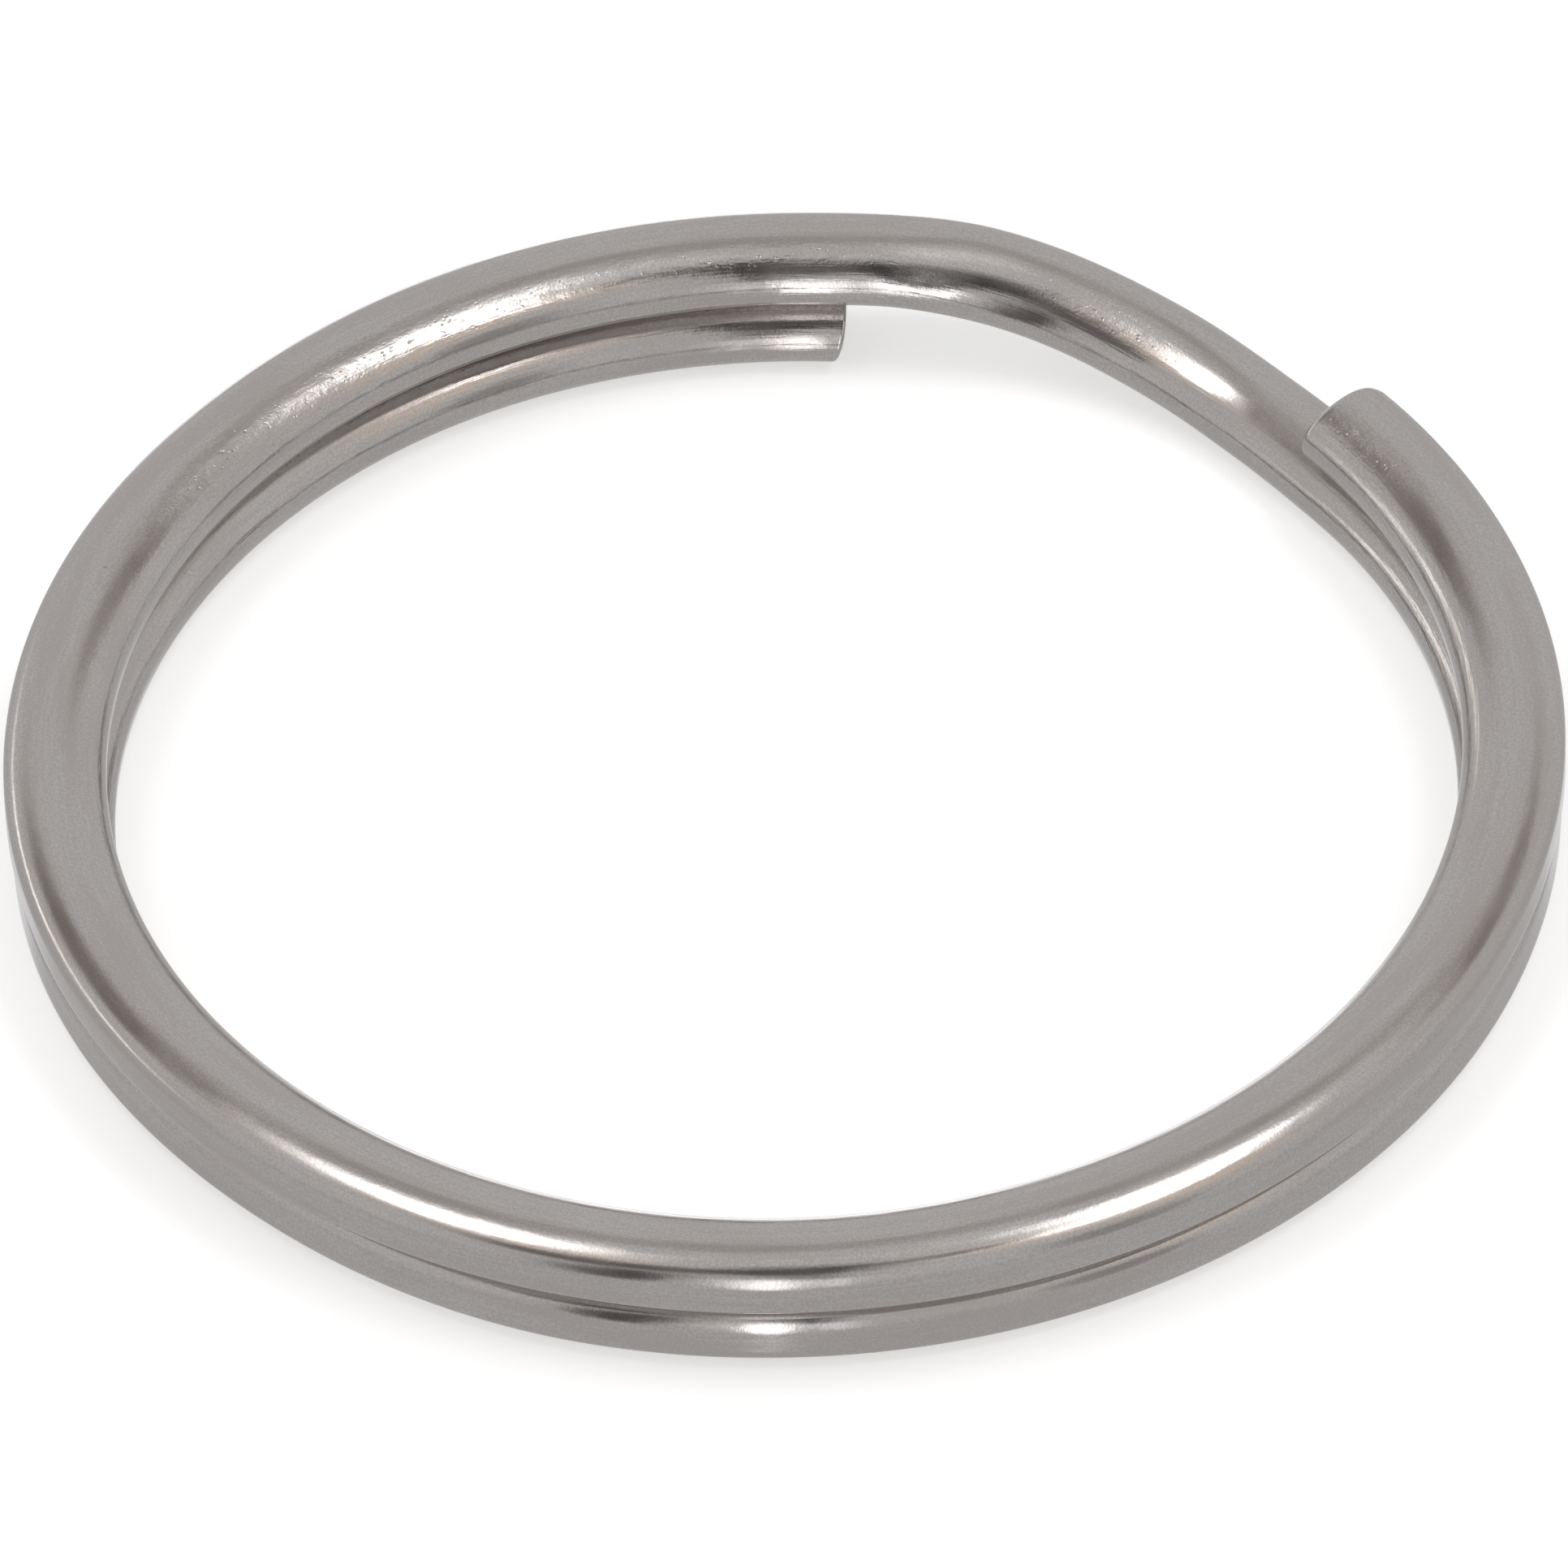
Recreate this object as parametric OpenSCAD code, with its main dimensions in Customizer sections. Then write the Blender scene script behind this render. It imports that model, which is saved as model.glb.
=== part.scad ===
// Split key ring: one flat-rolled spring wire wound two turns, closed, with two sheared ends.
//
// The wire is divided across its length into stretches that meet face to face, so that
// each leaf can bend open stretch by stretch. Seen from above the wire runs clockwise:
// free upper end, upper coil, crossover down to the lower level, lower coil, free lower end.
// Angles are in degrees about +Z, counted from +X towards +Y.
// The ring lies flat, with the lower coil's underside at z = 0.

/* [Ring] */
// Outer diameter over the upper coil
ring_od = 30; // [24:0.5:36]
// Radial width of the wire
wire_w = 1.98; // [1.5:0.02:2.4]
// Height of the wire, along the ring's axis
wire_h = 1.3; // [1.1:0.02:1.6]
// Corner radius of the wire on the side towards the hole
inner_round = 0.52; // [0.3:0.02:0.54]
// Corner radius of the wire on the outside of the ring
outer_round = 0.44; // [0.3:0.02:0.54]

/* [Ends and crossover] */
// Where the upper coil's free end is cut
upper_end_at = 37.5; // [37:0.5:42]
// Where the lower coil's free end is cut
lower_end_at = 84; // [83:0.5:90]
// Where the wire leaves the upper level
cross_from = 82; // [74:1:82]
// Where the wire reaches the lower level
cross_down_at = 46; // [43:1:52]
// Where the wire reaches the lower coil's radius
cross_to = 36; // [30:1:36]
// How far the crossover bows outwards at its middle
cross_bow = 0.35; // [0:0.05:0.5]
// How much smaller the lower coil's radius is than the upper coil's
lower_inset = 0.1; // [0:0.05:0.3]

/* [Hidden] */
// Stretches that each coil is divided into
STRETCHES = 7;
// Sections along the crossover, and points on each of its rounded corners
CROSS_SECTIONS = 24;
CORNER_POINTS = 5;
$fn = 96;

upper_r = (ring_od - wire_w) / 2;
lower_r = upper_r - lower_inset;
upper_step = (upper_end_at + 360 - cross_from) / STRETCHES;
lower_step = (cross_to + 360 - lower_end_at) / STRETCHES;

steel = [0.66, 0.64, 0.63];
bright_steel = [0.74, 0.72, 0.70];

// The wire's outline, centred on its width and standing on z = 0: flat above and below,
// with rounded sides.
module wire_section() {
    inner_x = inner_round - wire_w / 2;
    outer_x = wire_w / 2 - outer_round;
    translate([inner_x, 0])
        square([outer_x - inner_x, wire_h]);
    translate([-wire_w / 2, inner_round])
        square([inner_round, wire_h - 2 * inner_round]);
    translate([outer_x, outer_round])
        square([outer_round, wire_h - 2 * outer_round]);
    for (z = [inner_round, wire_h - inner_round])
        translate([inner_x, z]) circle(r = inner_round);
    for (z = [outer_round, wire_h - outer_round])
        translate([outer_x, z]) circle(r = outer_round);
}

// One stretch of a coil, running clockwise from angle `from` over `sweep` degrees.
module stretch(coil_r, level, from, sweep) {
    translate([0, 0, level])
        rotate_extrude(angle = sweep, start = from - sweep)
            translate([coil_r, 0])
                wire_section();
}

// Stretch number i of the upper coil; number 0 carries the free end.
module upper_stretch(i) {
    color(i % 2 == 0 ? bright_steel : steel)
        stretch(upper_r, wire_h, upper_end_at - i * upper_step, upper_step);
}

// Stretch number i of the lower coil; number 0 joins the crossover.
module lower_stretch(i) {
    color(i % 2 == 0 ? steel : bright_steel)
        stretch(lower_r, 0, cross_to - i * lower_step, lower_step);
}

// The same outline as wire_section(), as a list of [radial, z] points for the sweep.
function corner(x, z, r, from) = [
    for (k = [0:CORNER_POINTS])
        let (a = from + 90 * k / CORNER_POINTS) [x + r * cos(a), z + r * sin(a)]
];
outline = concat(
    corner(wire_w / 2 - outer_round, wire_h - outer_round, outer_round, 0),
    corner(inner_round - wire_w / 2, wire_h - inner_round, inner_round, 90),
    corner(inner_round - wire_w / 2, inner_round, inner_round, 180),
    corner(wire_w / 2 - outer_round, outer_round, outer_round, 270)
);

// Eases from 0 to 1 as t goes from 0 to 1, flat at both ends.
function ease(t) = let (u = min(max(t, 0), 1)) u * u * (3 - 2 * u);

// The wire's level and radius at angle a along the crossover.
function cross_level(a) = wire_h * (1 - ease((cross_from - a) / (cross_from - cross_down_at)));
function cross_share(a) = (cross_from - a) / (cross_from - cross_to);
function cross_r(a) =
    upper_r - lower_inset * ease(cross_share(a)) + cross_bow * pow(sin(180 * cross_share(a)), 2);

// The crossover: the wire steps down from the upper level to the lower one, bowing outwards.
module crossover() {
    count = len(outline);
    points = [
        for (k = [0:CROSS_SECTIONS])
            let (a = cross_from + (cross_to - cross_from) * k / CROSS_SECTIONS)
                for (p = outline)
                    [
                        (cross_r(a) + p[0]) * cos(a),
                        (cross_r(a) + p[0]) * sin(a),
                        cross_level(a) + p[1]
                    ]
    ];
    first_face = [for (i = [0:count - 1]) i];
    last_face = [for (i = [0:count - 1]) CROSS_SECTIONS * count + count - 1 - i];
    sides = [
        for (k = [0:CROSS_SECTIONS - 1], i = [0:count - 1])
            let (j = (i + 1) % count)
                [k * count + j, k * count + i, (k + 1) * count + i, (k + 1) * count + j]
    ];
    color(bright_steel)
        polyhedron(points = points, faces = concat([first_face, last_face], sides), convexity = 4);
}

upper_stretch(0);  // upper_end
upper_stretch(1);  // upper_coil_1
upper_stretch(2);  // upper_coil_2
upper_stretch(3);  // upper_coil_3
upper_stretch(4);  // upper_coil_4
upper_stretch(5);  // upper_coil_5
upper_stretch(6);  // upper_coil_6
crossover();
lower_stretch(0);  // lower_coil_1
lower_stretch(1);  // lower_coil_2
lower_stretch(2);  // lower_coil_3
lower_stretch(3);  // lower_coil_4
lower_stretch(4);  // lower_coil_5
lower_stretch(5);  // lower_coil_6
lower_stretch(6);  // lower_end
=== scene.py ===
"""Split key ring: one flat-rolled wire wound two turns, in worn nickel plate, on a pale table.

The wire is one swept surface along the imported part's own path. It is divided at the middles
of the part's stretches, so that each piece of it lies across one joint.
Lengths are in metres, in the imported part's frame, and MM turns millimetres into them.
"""

import math

import bpy
import numpy as np
from mathutils import Matrix, Vector


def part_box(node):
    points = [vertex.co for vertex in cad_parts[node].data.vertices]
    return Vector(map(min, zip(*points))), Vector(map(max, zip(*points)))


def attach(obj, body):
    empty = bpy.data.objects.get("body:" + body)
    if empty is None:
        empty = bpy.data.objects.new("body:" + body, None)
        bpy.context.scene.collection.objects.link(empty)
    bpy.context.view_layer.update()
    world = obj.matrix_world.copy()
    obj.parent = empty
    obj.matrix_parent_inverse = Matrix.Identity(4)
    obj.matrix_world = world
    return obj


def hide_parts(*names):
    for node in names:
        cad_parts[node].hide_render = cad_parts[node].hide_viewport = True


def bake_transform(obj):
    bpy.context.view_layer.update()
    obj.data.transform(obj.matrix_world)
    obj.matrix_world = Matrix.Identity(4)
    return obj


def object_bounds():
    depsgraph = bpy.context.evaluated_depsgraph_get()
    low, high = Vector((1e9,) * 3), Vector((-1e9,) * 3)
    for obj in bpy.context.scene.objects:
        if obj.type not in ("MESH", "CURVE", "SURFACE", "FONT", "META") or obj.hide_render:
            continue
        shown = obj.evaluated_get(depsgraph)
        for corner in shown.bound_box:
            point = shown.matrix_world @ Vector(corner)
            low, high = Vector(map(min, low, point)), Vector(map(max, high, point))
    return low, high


MM = 0.001

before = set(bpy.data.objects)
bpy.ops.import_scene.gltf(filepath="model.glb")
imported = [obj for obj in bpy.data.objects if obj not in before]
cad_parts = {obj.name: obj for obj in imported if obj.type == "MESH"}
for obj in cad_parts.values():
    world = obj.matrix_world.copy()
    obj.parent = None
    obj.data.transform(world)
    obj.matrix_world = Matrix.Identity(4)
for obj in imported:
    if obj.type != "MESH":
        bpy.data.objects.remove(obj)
cad_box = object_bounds()

# ---------------------------------------------------------------- the wire's path
# Angles are in degrees about +Z, and "travel" is how far the wire has run clockwise
# from the upper coil's free end.
UPPER_END_AT = 37.5
LOWER_END_AT = 84.0
CROSS_FROM = 82.0
CROSS_DOWN_AT = 46.0
CROSS_TO = 36.0
CROSS_BOW = 0.35 * MM
LOWER_INSET = 0.10 * MM
STRETCHES = 7
WIRE_W = 1.98 * MM
# The upper end springs up a little, and the lower end is tucked in, over that much travel
END_LIFT = 0.09 * MM
LIFT_SPAN = 25.0
END_TUCK = 0.08 * MM
TUCK_SPAN = 40.0

UPPER_TRAVEL = UPPER_END_AT + 360 - CROSS_FROM
CROSS_TRAVEL = CROSS_FROM - CROSS_TO
LOWER_TRAVEL = CROSS_TO + 360 - LOWER_END_AT
TOTAL_TRAVEL = UPPER_TRAVEL + CROSS_TRAVEL + LOWER_TRAVEL

end_low, end_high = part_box("upper_end")
WIRE_H = end_high[2] - end_low[2]
UPPER_R = (cad_box[1][0] - cad_box[0][0] - WIRE_W) / 2


def ease(t):
    """Eases from 0 to 1 as t goes from 0 to 1, flat at both ends."""
    u = np.clip(t, 0, 1)
    return u * u * (3 - 2 * u)


# Where the wire strays from the part's true circles: the middle in degrees of travel, the
# reach on each side of it, and how far outwards.
STRAYS = ((325, 15, 0.12 * MM), (535, 32, -0.13 * MM))
# Where the outer half of the wire is a little wider, in the same form
WIDENED = ((308, 28, 0.10 * MM), (282, 26, 0.12 * MM))


def bump(travel, middle, reach):
    """1 at the middle, falling smoothly to 0 at that reach on both sides."""
    return ease(1 - np.abs(travel - middle) / reach)


def bumps(travel, rows):
    """The sum of bumps given as rows of middle, reach and amount."""
    return sum(amount * bump(travel, middle, reach) for middle, reach, amount in rows)


def path_radius(travel):
    """The radius of the wire's middle."""
    share = np.clip((travel - UPPER_TRAVEL) / CROSS_TRAVEL, 0, 1)
    bow = CROSS_BOW * np.sin(math.pi * share) ** 2
    tuck = END_TUCK * ease((travel - TOTAL_TRAVEL + TUCK_SPAN) / TUCK_SPAN)
    return UPPER_R - LOWER_INSET * ease(share) + bow - tuck + bumps(travel, STRAYS)


def path_level(travel):
    """The height of the wire's underside."""
    down = ease((travel - UPPER_TRAVEL) / (CROSS_FROM - CROSS_DOWN_AT))
    return WIRE_H * (1 - down) + END_LIFT * ease(1 - travel / LIFT_SPAN)


# ---------------------------------------------------------------- the wire's section
# Points round the wire, and points that half of its outline is worked out at first
AROUND = 96
FINE_POINTS = 1801
# Each row: how far the surface leans from level, in degrees, from -90 facing the hole to 90
# facing outwards, and the radius of its curve there in millimetres.
TOP_CURVES = ((-90, 0.40), (-58, 0.50), (-38, 1.02), (-18, 1.50), (7, 1.65), (16, 1.20),
              (28, 0.70), (47, 0.40), (67, 0.30), (90, 0.30))
# The same underneath, where the wire is flatter
BASE_CURVES = ((-90, 0.40), (-45, 0.46), (-26, 0.60), (-14, 1.60), (0, 3.60), (10, 2.00),
               (18, 0.90), (32, 0.36), (60, 0.20), (90, 0.20))


def half_section(curves):
    """Half of the wire's outline from the hole side to the outside, as (outwards, up)."""
    lean = np.linspace(-90, 90, FINE_POINTS)
    step = np.radians(lean[1] - lean[0]) * np.interp(lean, *zip(*curves))
    out = np.cumsum(step * np.cos(np.radians(lean)))
    up = -np.cumsum(step * np.sin(np.radians(lean)))
    out = (out - (out[0] + out[-1]) / 2) * WIRE_W / np.ptp(out)
    crest = up.argmax()
    drop = np.where(np.arange(len(up)) < crest, up[crest] - up[0], up[crest] - up[-1])
    share = np.minimum(1, WIRE_H / 2 / MM / drop)
    return out, WIRE_H / 2 - (up[crest] - up) * share * MM


def section():
    """The wire's outline as offsets (outwards, up) from its middle, evenly spaced round it."""
    top_out, top_up = half_section(TOP_CURVES)
    base_out, base_up = half_section(BASE_CURVES)
    out = np.concatenate([base_out, top_out[::-1], base_out[:1]])
    up = np.concatenate([-base_up, top_up[::-1], -base_up[:1]])
    run = np.concatenate([[0], np.cumsum(np.hypot(np.diff(out), np.diff(up)))])
    marks = np.linspace(0, run[-1], AROUND, endpoint=False)
    return np.interp(marks, run, out), np.interp(marks, run, up)


# Where the wire rolls a little about its own length, in the same form as STRAYS: the roll
# outwards at the middle is in degrees.
ROLLS = ((192.5, 24, 1.5), (104.5, 22, 2.8), (270, 34, 3.5),
         (323.5, 7, -3.0), (331.5, 15, -6.0), (342.5, 10, -3.0))
LOWER_ROLL = -4.0
# How far the crossover's flattened top leans back from its own slope, in degrees
LEAN_BACK = 4.0


def roll(travel):
    """How far the wire is rolled outwards, in radians."""
    lower = LOWER_ROLL * ease((travel - UPPER_TRAVEL - CROSS_TRAVEL) / CROSS_TRAVEL)
    return np.radians(bumps(travel, ROLLS) + lower)


# ---------------------------------------------------------------- the swept surface
# Degrees of travel between rings of points, and how they close up near each end
RING_STEP = 0.45
END_SPAN = 4.0
END_STEPS = 28
CAP_STEPS = 5
# The edge radius of the upper and of the lower end face, on each of its four sides: the upper
# end has a well rounded outer corner, and the lower end small burred edges.
END_EDGES = dict(outside=(0.34 * MM, 0.06 * MM), hole_side=(0.16 * MM, 0.10 * MM),
                 above=(0.14 * MM, 0.07 * MM), below=(0.10 * MM, 0.06 * MM))
# How the upper and the lower end were sheared: how far onwards along the wire the end face is
# moved at its middle, how much more at its top and at its outside, and the length of wire
# over which that fades out.
UPPER_CUT = dict(top=0.10 * MM, outside=-0.05 * MM, middle=-0.17 * MM, fades=1.5 * MM)
LOWER_CUT = dict(top=0.20 * MM, outside=-0.16 * MM, middle=-0.05 * MM, fades=1.6 * MM)


def stations():
    """Travel and cap share of every ring of points along the wire.

    The cap share is 0 along the wire, and goes to 1 towards the middle of each end face.
    """
    near = END_SPAN * np.linspace(0, 1, END_STEPS) ** 2
    middle = np.arange(END_SPAN + RING_STEP, TOTAL_TRAVEL - END_SPAN, RING_STEP)
    travel = np.concatenate([near, middle, TOTAL_TRAVEL - near[::-1]])
    cap = np.linspace(0.95, 0.15, CAP_STEPS)
    travel = np.concatenate([np.zeros(CAP_STEPS), travel, np.full(CAP_STEPS, TOTAL_TRAVEL)])
    share = np.concatenate([cap, np.zeros(len(travel) - 2 * CAP_STEPS), cap[::-1]])
    return travel, share


def rounded(distance, radius):
    """How far a surface has drawn in at that distance from an end with that edge radius."""
    left = np.clip(radius - distance, 0, radius)
    return radius - np.sqrt(np.maximum(radius ** 2 - left ** 2, 0))


def sheared(distance, side, rise, cut):
    """How far onwards along the wire its points are moved, at that distance from a cut end."""
    face = cut["top"] * rise / (WIRE_H / 2) + cut["outside"] * side / (WIRE_W / 2) + cut["middle"]
    return ease(1 - distance / cut["fades"])[:, None] * face


def wire_offsets(travel, share, from_upper, from_lower):
    """Each point's offsets outwards and up from the middle of the wire, before the wire rolls."""
    out, up = section()
    drawn_in = {place: rounded(from_upper, upper) + rounded(from_lower, lower)
                for place, (upper, lower) in END_EDGES.items()}
    outer = (bumps(travel, WIDENED) - drawn_in["outside"])[:, None]
    inner = -drawn_in["hole_side"][:, None]
    above, below = drawn_in["above"][:, None], drawn_in["below"][:, None]
    keep = (1 - share)[:, None]
    side = out * keep * (1 + np.where(out > 0, outer, inner) / (WIRE_W / 2))
    rise = up * keep * (1 - np.where(up > 0, above, below) / (WIRE_H / 2))
    return side, rise


def wire_surface():
    """The whole wire: points as an array [ring, point, xyz], each ring's travel, and each
    point's place in the wire as (along, outwards, up) in millimetres."""
    travel, share = stations()
    from_upper = np.radians(travel) * UPPER_R
    from_lower = np.radians(TOTAL_TRAVEL - travel) * UPPER_R
    side, rise = wire_offsets(travel, share, from_upper, from_lower)

    onwards = sheared(from_upper, side, rise, UPPER_CUT) + sheared(from_lower, side, rise, LOWER_CUT)
    angle = np.radians(UPPER_END_AT - travel)[:, None] - onwards / UPPER_R
    turn = roll(travel)[:, None]
    radius = path_radius(travel)[:, None] + side * np.cos(turn) + rise * np.sin(turn)
    level = path_level(travel)[:, None] + WIRE_H / 2 + rise * np.cos(turn) - side * np.sin(turn)
    points = np.stack([radius * np.cos(angle), radius * np.sin(angle), level], axis=-1)
    along = np.broadcast_to(from_upper[:, None], side.shape)
    return points, travel, np.stack([along, side, rise], axis=-1) / MM


def surface_normals(points):
    """Outward unit normals of the swept surface."""
    along = np.gradient(points, axis=0)
    ahead, behind = np.roll(points, -1, axis=1), np.roll(points, 1, axis=1)
    normals = np.cross(ahead - behind, along)
    return normals / np.linalg.norm(normals, axis=-1, keepdims=True)


def lean_back(normals, points, travel):
    """Normals turned back against the crossover's slope, as its flattened top is."""
    share = (travel - UPPER_TRAVEL) / (CROSS_FROM - CROSS_DOWN_AT)
    angle = np.radians(LEAN_BACK * bump(share, 0.5, 0.5))[:, None, None]
    outwards = points * (1, 1, 0)
    outwards /= np.linalg.norm(outwards, axis=-1, keepdims=True)
    ahead = np.cross(outwards, (0, 0, 1))
    up = normals[..., 2:]
    onwards = np.sum(normals * ahead, axis=-1, keepdims=True)
    turned = normals - onwards * ahead - up * (0, 0, 1)
    turned = turned + (onwards * np.cos(angle) - up * np.sin(angle)) * ahead
    return turned + (up * np.cos(angle) + onwards * np.sin(angle)) * np.array((0, 0, 1))


def surface_faces(rings):
    """Quads between neighbouring rings, and a face over each end, all facing outwards."""
    faces = []
    for ring in range(rings - 1):
        for point in range(AROUND):
            after = (point + 1) % AROUND
            near, far = ring * AROUND, (ring + 1) * AROUND
            faces.append((near + point, near + after, far + after, far + point))
    faces.append(tuple(reversed(range(AROUND))))
    last = (rings - 1) * AROUND
    faces.append(tuple(range(last, last + AROUND)))
    return faces


def wire_piece(name, points, normals, place, material):
    """One length of the wire as a mesh object, with its place in the wire stored per point."""
    mesh = bpy.data.meshes.new(name)
    mesh.from_pydata(points.reshape(-1, 3), [], surface_faces(len(points)))
    mesh.polygons.foreach_set("use_smooth", [True] * len(mesh.polygons))
    mesh.attributes.new("in_wire", "FLOAT_VECTOR", "POINT").data.foreach_set("vector", place.ravel())
    mesh.materials.append(material)
    mesh.normals_split_custom_set_from_vertices(normals.reshape(-1, 3))
    piece = bpy.data.objects.new(name, mesh)
    bpy.context.scene.collection.objects.link(piece)
    return piece


def upper_names():
    return ["upper_end"] + [f"upper_coil_{i}" for i in range(1, STRETCHES)]


def lower_names():
    return [f"lower_coil_{i}" for i in range(1, STRETCHES)] + ["lower_end"]


def build_wire(material):
    """The wire's pieces: one over each joint, and a rigid one over the crossover."""
    points, travel, place = wire_surface()
    normals = lean_back(surface_normals(points), points, travel)
    upper_step, lower_step = UPPER_TRAVEL / STRETCHES, LOWER_TRAVEL / STRETCHES
    lower_from = UPPER_TRAVEL + CROSS_TRAVEL
    upper, lower = upper_names(), lower_names()
    cuts = [upper_step * (i + 0.5) for i in range(1, STRETCHES)]
    cuts += [lower_from + lower_step * (i + 0.5) for i in range(STRETCHES - 1)]
    rows = [int(np.argmin(np.abs(travel - cut))) for cut in cuts]
    rows = [0] + rows + [len(travel) - 1]

    # Each plan row: the piece's name, the node it stands for, and the stretches it joins.
    plan = [(upper[i], upper[i], upper[i + 1]) for i in range(STRETCHES - 1)]
    plan.append(("crossover", "crossover", "crossover"))
    plan += [(lower[i + 1], lower[i], lower[i + 1]) for i in range(STRETCHES - 1)]
    for (node, before, after), first, last in zip(plan, rows[:-1], rows[1:]):
        span = slice(first, last + 1)
        piece = wire_piece(f"wire_{node}", points[span], normals[span], place[span], material)
        if node == "crossover":
            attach(piece, "crossover")
            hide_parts("upper_coil_6", "crossover", "lower_coil_1")
            continue
        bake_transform(piece)
        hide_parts(node)


# ---------------------------------------------------------------- material
class Shade:
    """Short ways to add nodes to one node tree; textures are measured in millimetres."""

    def __init__(self, tree):
        self.tree = tree

    def fill(self, socket, value):
        """Links a socket's source to it, or sets its value."""
        if isinstance(value, bpy.types.NodeSocket):
            self.tree.links.new(value, socket)
        else:
            socket.default_value = value

    def math(self, operation, first, second=0.0):
        node = self.tree.nodes.new("ShaderNodeMath")
        node.operation = operation
        self.fill(node.inputs[0], first)
        self.fill(node.inputs[1], second)
        return node.outputs["Value"]

    def split(self, vector):
        """A vector's three components."""
        node = self.tree.nodes.new("ShaderNodeSeparateXYZ")
        self.fill(node.inputs["Vector"], vector)
        return node.outputs["X"], node.outputs["Y"], node.outputs["Z"]

    def add_up(self, *values):
        total = values[0]
        for value in values[1:]:
            total = self.math("ADD", total, value)
        return total

    def between(self, value, low, high, to_low=0.0, to_high=1.0):
        """Eases from to_low to to_high as the value goes from low to high."""
        node = self.tree.nodes.new("ShaderNodeMapRange")
        node.interpolation_type = "SMOOTHSTEP"
        for name, number in (("From Min", low), ("From Max", high),
                             ("To Min", to_low), ("To Max", to_high)):
            node.inputs[name].default_value = number
        self.fill(node.inputs["Value"], value)
        return node.outputs["Result"]

    def near(self, value, middle, reach):
        """1 where the value is at the middle, easing to 0 at that reach from it."""
        away = self.math("ABSOLUTE", self.math("SUBTRACT", value, middle))
        return self.between(away, reach, 0.0)

    def stretched(self, place, along, shift=0.0):
        """Wire places with the distance along the wire divided by that factor."""
        node = self.tree.nodes.new("ShaderNodeMapping")
        node.inputs["Scale"].default_value = (1 / along, 1, 1)
        node.inputs["Location"].default_value = (shift, shift, shift)
        self.fill(node.inputs["Vector"], place)
        return node.outputs["Vector"]

    def noise(self, place, size, detail=2.0):
        """Noise from about 0.3 to 0.7, with blotches of about that size in millimetres."""
        node = self.tree.nodes.new("ShaderNodeTexNoise")
        node.inputs["Scale"].default_value = 1 / size
        node.inputs["Detail"].default_value = detail
        self.fill(node.inputs["Vector"], place)
        return node.outputs["Fac"]

    def cells(self, place, size):
        """Points scattered about that far apart: the distance to the nearest one, counted in
        that size, and that point's own random colour."""
        node = self.tree.nodes.new("ShaderNodeTexVoronoi")
        node.inputs["Scale"].default_value = 1 / size
        self.fill(node.inputs["Vector"], place)
        return node.outputs["Distance"], node.outputs["Color"]

    def mix(self, share, first, second):
        node = self.tree.nodes.new("ShaderNodeMix")
        node.data_type = "RGBA"
        self.fill(node.inputs["Factor"], share)
        self.fill(node.inputs["A"], first)
        self.fill(node.inputs["B"], second)
        return node.outputs["Result"]


NICKEL = (0.61, 0.588, 0.575, 1)
NICKEL_WARM = (0.53, 0.495, 0.475, 1)
NICKEL_PIT = (0.36, 0.33, 0.31, 1)
SPECK = (0.24, 0.17, 0.14, 1)


def worn_places(shade, along, outwards):
    """How rough the plate has become: at the upper end, over the back and on the crossover."""
    # Each row: the wire's travel there and the reach along it in degrees, then how far outwards
    # the middle is and the reach across the wire in millimetres.
    patches = ((5, 9, -0.35, 0.60), (268, 36, -0.50, 0.65), (306, 18, -0.40, 0.40),
               (336, 11, -0.25, 0.45))
    mm_per_degree = math.radians(1) * UPPER_R / MM
    shares = []
    for travel, reach, middle, wide in patches:
        share = shade.near(along, travel * mm_per_degree, reach * mm_per_degree)
        shares.append(shade.math("MULTIPLY", share, shade.near(outwards, middle, wide)))
    return shade.add_up(*shares)


def pits(shade, place, worn):
    """1 in the small pits that have opened in groups where the plate is worn."""
    holes, _ = shade.cells(shade.stretched(place, 1.6, 5.0), 0.085)
    pit = shade.math("MULTIPLY", shade.between(holes, 0.42, 0.12), worn)
    return shade.math("MULTIPLY", pit, shade.between(shade.noise(place, 0.22), 0.50, 0.60))


def specks(shade, place):
    """1 in a few dark specks, far apart: only some of the scattered points have one."""
    spots, which = shade.cells(shade.stretched(place, 1.3, 9.0), 1.5)
    chosen, _, _ = shade.split(which)
    return shade.math("MULTIPLY", shade.between(spots, 0.045, 0.020),
                      shade.between(chosen, 0.74, 0.80))


def relief(shade, place, outwards, worn, pit, drawn, grain):
    """The fine relief's height in millimetres; drawn lines and rubbing are deeper hole-side."""
    scratches = shade.noise(shade.stretched(place, 12, 7.0), 0.030, 1.0)
    skin = shade.noise(shade.stretched(place, 2.2, 3.0), 0.24, 2.0)
    rubbed = shade.noise(shade.stretched(place, 3.5, 13.0), 0.085, 2.0)
    waves = shade.noise(shade.stretched(place, 6, 11.0), 0.85, 1.0)
    hole_side = shade.between(outwards, -0.35, -0.85)
    drawn_depth = shade.add_up(shade.math("MULTIPLY", hole_side, 0.0042), 0.0006)
    skin_depth = shade.add_up(shade.math("MULTIPLY", worn, 0.011), 0.0026)
    rubbed_depth = shade.add_up(shade.math("MULTIPLY", worn, 0.0042),
                                shade.math("MULTIPLY", hole_side, 0.0020))
    grain_depth = shade.add_up(shade.math("MULTIPLY", worn, 0.0018), 0.0007)
    layers = ((drawn, drawn_depth), (scratches, 0.0004), (skin, skin_depth),
              (rubbed, rubbed_depth), (grain, grain_depth), (waves, 0.004), (pit, -0.005))
    return shade.add_up(*(shade.math("MULTIPLY", layer, depth) for layer, depth in layers))


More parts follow.
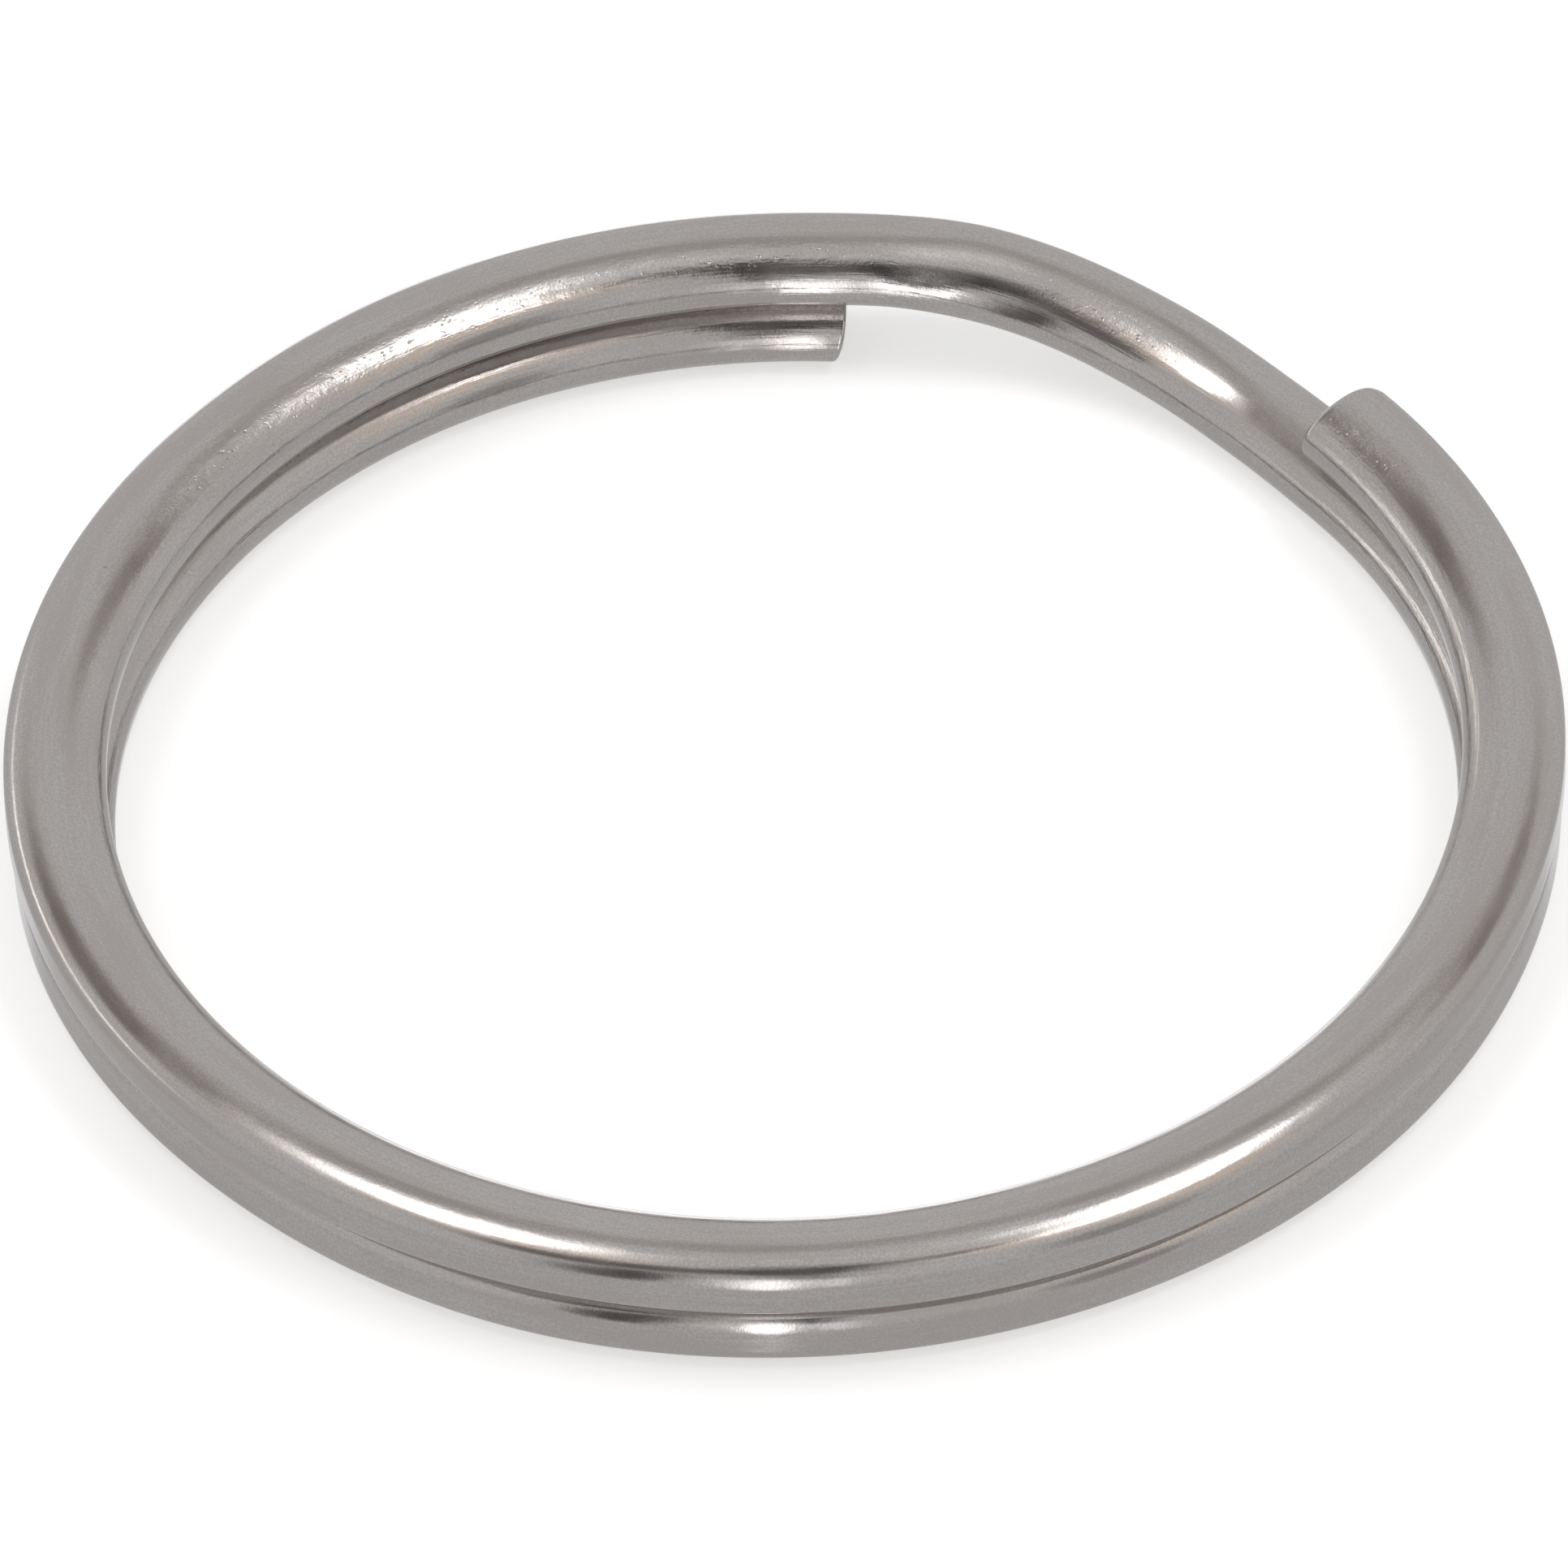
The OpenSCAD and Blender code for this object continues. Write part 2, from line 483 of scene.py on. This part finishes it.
def plate_colour(shade, place, pit, speck, drawn, grain):
    """Nickel that is warmer in blotches, in its grain and along its drawn lines."""
    blotches = shade.noise(shade.stretched(place, 9, 2.0), 0.55, 3.0)
    warmth = shade.add_up(shade.between(blotches, 0.42, 0.66, 0.0, 0.5),
                          shade.between(grain, 0.34, 0.66, 0.0, 0.8),
                          shade.between(drawn, 0.35, 0.65, 0.0, 0.3))
    colour = shade.mix(warmth, NICKEL, NICKEL_WARM)
    colour = shade.mix(pit, colour, NICKEL_PIT)
    return shade.mix(speck, colour, SPECK)


def plate_roughness(shade, place, worn, pit, speck):
    """The shader's roughness: uneven all over, more where worn, and most in pits and specks."""
    uneven = shade.noise(shade.stretched(place, 4, 4.0), 0.5)
    return shade.add_up(shade.between(uneven, 0.35, 0.65, 0.12, 0.19),
                        shade.math("MULTIPLY", worn, 0.05),
                        shade.math("MULTIPLY", pit, 0.20),
                        shade.math("MULTIPLY", speck, 0.40))


def nickel():
    """Worn nickel plate: drawn lines along the wire, an orange-peel skin, grain and pits."""
    material = bpy.data.materials.new("nickel")
    material.use_nodes = True
    tree = material.node_tree
    shade = Shade(tree)
    attribute = tree.nodes.new("ShaderNodeAttribute")
    attribute.attribute_name = "in_wire"
    place = attribute.outputs["Vector"]
    along, outwards, _ = shade.split(place)
    worn = worn_places(shade, along, outwards)
    pit = pits(shade, place, worn)
    speck = specks(shade, place)
    drawn = shade.noise(shade.stretched(place, 26), 0.055, 3.0)
    grain = shade.noise(place, 0.050, 2.0)

    bump = tree.nodes.new("ShaderNodeBump")
    bump.inputs["Distance"].default_value = MM
    shade.fill(bump.inputs["Height"], relief(shade, place, outwards, worn, pit, drawn, grain))
    shader = tree.nodes["Principled BSDF"]
    shade.fill(shader.inputs["Normal"], bump.outputs["Normal"])
    shade.fill(shader.inputs["Base Color"], plate_colour(shade, place, pit, speck, drawn, grain))
    shade.fill(shader.inputs["Roughness"], plate_roughness(shade, place, worn, pit, speck))
    shader.inputs["Metallic"].default_value = 1.0
    return material


# ---------------------------------------------------------------- table, light and camera
# The camera looks at the ring's middle from in front and above; its aim is a little off it.
# The lens and the sensor are in millimetres.
RING_MIDDLE = Vector((0, 0, WIRE_H))
CAMERA_DISTANCE = 375 * MM
CAMERA_ELEVATION = math.radians(43.35)
CAMERA_ROLL = math.radians(2.22)
AIM_BELOW = 0.23 * MM
AIM_LEFT = 0.02 * MM
LENS = 447.8
SENSOR = 36.0


def add_camera():
    """The camera, in front of the ring and above it, tilted a little clockwise."""
    back = Vector((0, -math.cos(CAMERA_ELEVATION), math.sin(CAMERA_ELEVATION)))
    right = Vector((1, 0, 0))
    turn = Matrix.Rotation(-CAMERA_ROLL, 3, back)
    right = turn @ right
    up = back.cross(right)
    target = RING_MIDDLE - AIM_BELOW * up - AIM_LEFT * right
    basis = Matrix((right, up, back)).transposed().to_4x4()
    data = bpy.data.cameras.new("camera")
    data.lens = LENS
    data.sensor_width = SENSOR
    data.clip_start = 0.01
    data.clip_end = 20
    camera = bpy.data.objects.new("camera", data)
    camera.matrix_world = Matrix.Translation(target + CAMERA_DISTANCE * back) @ basis
    bpy.context.scene.collection.objects.link(camera)
    bpy.context.scene.camera = camera


# How far the table goes on each side of the ring
TABLE_REACH = 3.0


def add_table():
    """The pale table under the ring."""
    mesh = bpy.data.meshes.new("table")
    corners = [(x * TABLE_REACH, y * TABLE_REACH, 0) for x, y in ((-1, -1), (1, -1), (1, 1), (-1, 1))]
    mesh.from_pydata(corners, [], [(0, 1, 2, 3)])
    material = bpy.data.materials.new("table")
    material.use_nodes = True
    shader = material.node_tree.nodes["Principled BSDF"]
    shader.inputs["Base Color"].default_value = (0.92, 0.92, 0.92, 1)
    shader.inputs["Roughness"].default_value = 0.8
    shader.inputs["Emission Color"].default_value = (1, 1, 1, 1)
    shader.inputs["Emission Strength"].default_value = 0.45
    mesh.materials.append(material)
    table = bpy.data.objects.new("table", mesh)
    bpy.context.scene.collection.objects.link(table)
    # The table is blown out, so the metal reflects the room's own grey from below instead.
    table.visible_glossy = False


# Soft patches of the studio around the ring: its lamps, its walls and its dark parts. Each one
# lies over those before it. It is at an azimuth about +Z from +X and an elevation, and
# reaches so many degrees sideways and upwards from there; soft is how much of that is edge,
# from 0 to 1.
STUDIO = (
    dict(at=(90, -45), reach=(24, 9), soft=0.9, colour=(0.80, 0.80, 0.82)),
    dict(at=(92, -20), reach=(13, 10), soft=0.8, colour=(1.5, 1.5, 1.53)),
    dict(at=(95, 56), reach=(24, 6), soft=0.9, colour=(0.48, 0.465, 0.455)),
    dict(at=(134, 46), reach=(13, 11), soft=0.9, colour=(0.27, 0.245, 0.23)),
    dict(at=(47, 45), reach=(14, 6), soft=0.9, colour=(0.33, 0.30, 0.285)),
    dict(at=(312, 14), reach=(9, 24), soft=0.9, colour=(0.38, 0.37, 0.36)),
    dict(at=(152, 17), reach=(26, 2.4), soft=0.9, colour=(2.0, 1.95, 1.90)),
    dict(at=(247, 67), reach=(5, 9), soft=0.9, colour=(0.24, 0.225, 0.22)),
    dict(at=(226, 62), reach=(8, 14), soft=0.7, colour=(0.16, 0.15, 0.145)),
    dict(at=(245, 22), reach=(6.5, 34), soft=0.8, colour=(0.10, 0.09, 0.09)),
    dict(at=(265, 5), reach=(2.8, 38), soft=0.6, colour=(2.8, 2.8, 2.85)),
    dict(at=(274, 8), reach=(1.3, 30), soft=0.6, colour=(1.3, 1.3, 1.33)),
    dict(at=(335, 52), reach=(9, 14), soft=0.9, colour=(0.80, 0.71, 0.63)),
    dict(at=(172, 70), reach=(15, 10), soft=0.9, colour=(0.90, 0.79, 0.71)),
    dict(at=(342, 66), reach=(14, 11), soft=0.9, colour=(0.90, 0.79, 0.71)),
    dict(at=(152, 70), reach=(13, 7), soft=0.6, colour=(3.5, 3.5, 3.5)),
    dict(at=(30, 69), reach=(10, 6), soft=0.6, colour=(3.5, 3.5, 3.5)),
    dict(at=(352, 67), reach=(9, 6), soft=0.6, colour=(3.5, 3.5, 3.5)),
    dict(at=(307, 76), reach=(8, 4), soft=0.9, colour=(0.26, 0.245, 0.24)),
    dict(at=(269, 71), reach=(6.0, 16), soft=0.7, colour=(0.07, 0.065, 0.065)),
    dict(at=(270.5, 45), reach=(2.2, 17), soft=0.4, colour=(0.02, 0.02, 0.025)),
)
# The room's grey above and below, which blend within that height of the horizon
ROOM_ABOVE = (0.635, 0.635, 0.630)
ROOM_BELOW = (0.575, 0.575, 0.575)
ROOM_BLEND = 0.3


def add_patch(shade, direction, under, patch):
    """Lays one soft patch over the colour of the world so far, and returns the result."""
    nodes = shade.tree.nodes
    azimuth, elevation = (math.radians(angle) for angle in patch["at"])
    sideways, upwards = (math.tan(math.radians(angle)) for angle in patch["reach"])

    # Turns the patch's middle to +Z and scales it, so that its rim is 1 away from the axis.
    turn = nodes.new("ShaderNodeMapping")
    turn.vector_type = "TEXTURE"
    turn.inputs["Rotation"].default_value = (0, math.pi / 2 - elevation, azimuth)
    turn.inputs["Scale"].default_value = (upwards, sideways, 1)
    shade.fill(turn.inputs["Vector"], direction)
    x, y, z = shade.split(turn.outputs["Vector"])
    flat = nodes.new("ShaderNodeCombineXYZ")
    shade.fill(flat.inputs["X"], shade.math("DIVIDE", x, z))
    shade.fill(flat.inputs["Y"], shade.math("DIVIDE", y, z))
    away = nodes.new("ShaderNodeVectorMath")
    away.operation = "LENGTH"
    shade.fill(away.inputs[0], flat.outputs["Vector"])

    inside = shade.between(away.outputs["Value"], 1 + patch["soft"] / 2, 1 - patch["soft"] / 2)
    share = shade.math("MULTIPLY", inside, shade.math("GREATER_THAN", z, 0.0))
    return shade.mix(share, under, (*patch["colour"], 1))


def add_world():
    """The studio: grey all round, with its lamps and dark parts as soft patches."""
    world = bpy.data.worlds.new("studio")
    world.use_nodes = True
    shade = Shade(world.node_tree)
    direction = world.node_tree.nodes.new("ShaderNodeTexCoord").outputs["Generated"]
    _, _, height = shade.split(direction)
    above = shade.between(height, -ROOM_BLEND, ROOM_BLEND)
    colour = shade.mix(above, (*ROOM_BELOW, 1), (*ROOM_ABOVE, 1))
    for patch in STUDIO:
        colour = add_patch(shade, direction, colour, patch)
    shade.fill(world.node_tree.nodes["Background"].inputs["Color"], colour)
    bpy.context.scene.world = world


# ---------------------------------------------------------------- the scene
bpy.context.scene.view_settings.view_transform = "Standard"
add_camera()
add_table()
add_world()
build_wire(nickel())
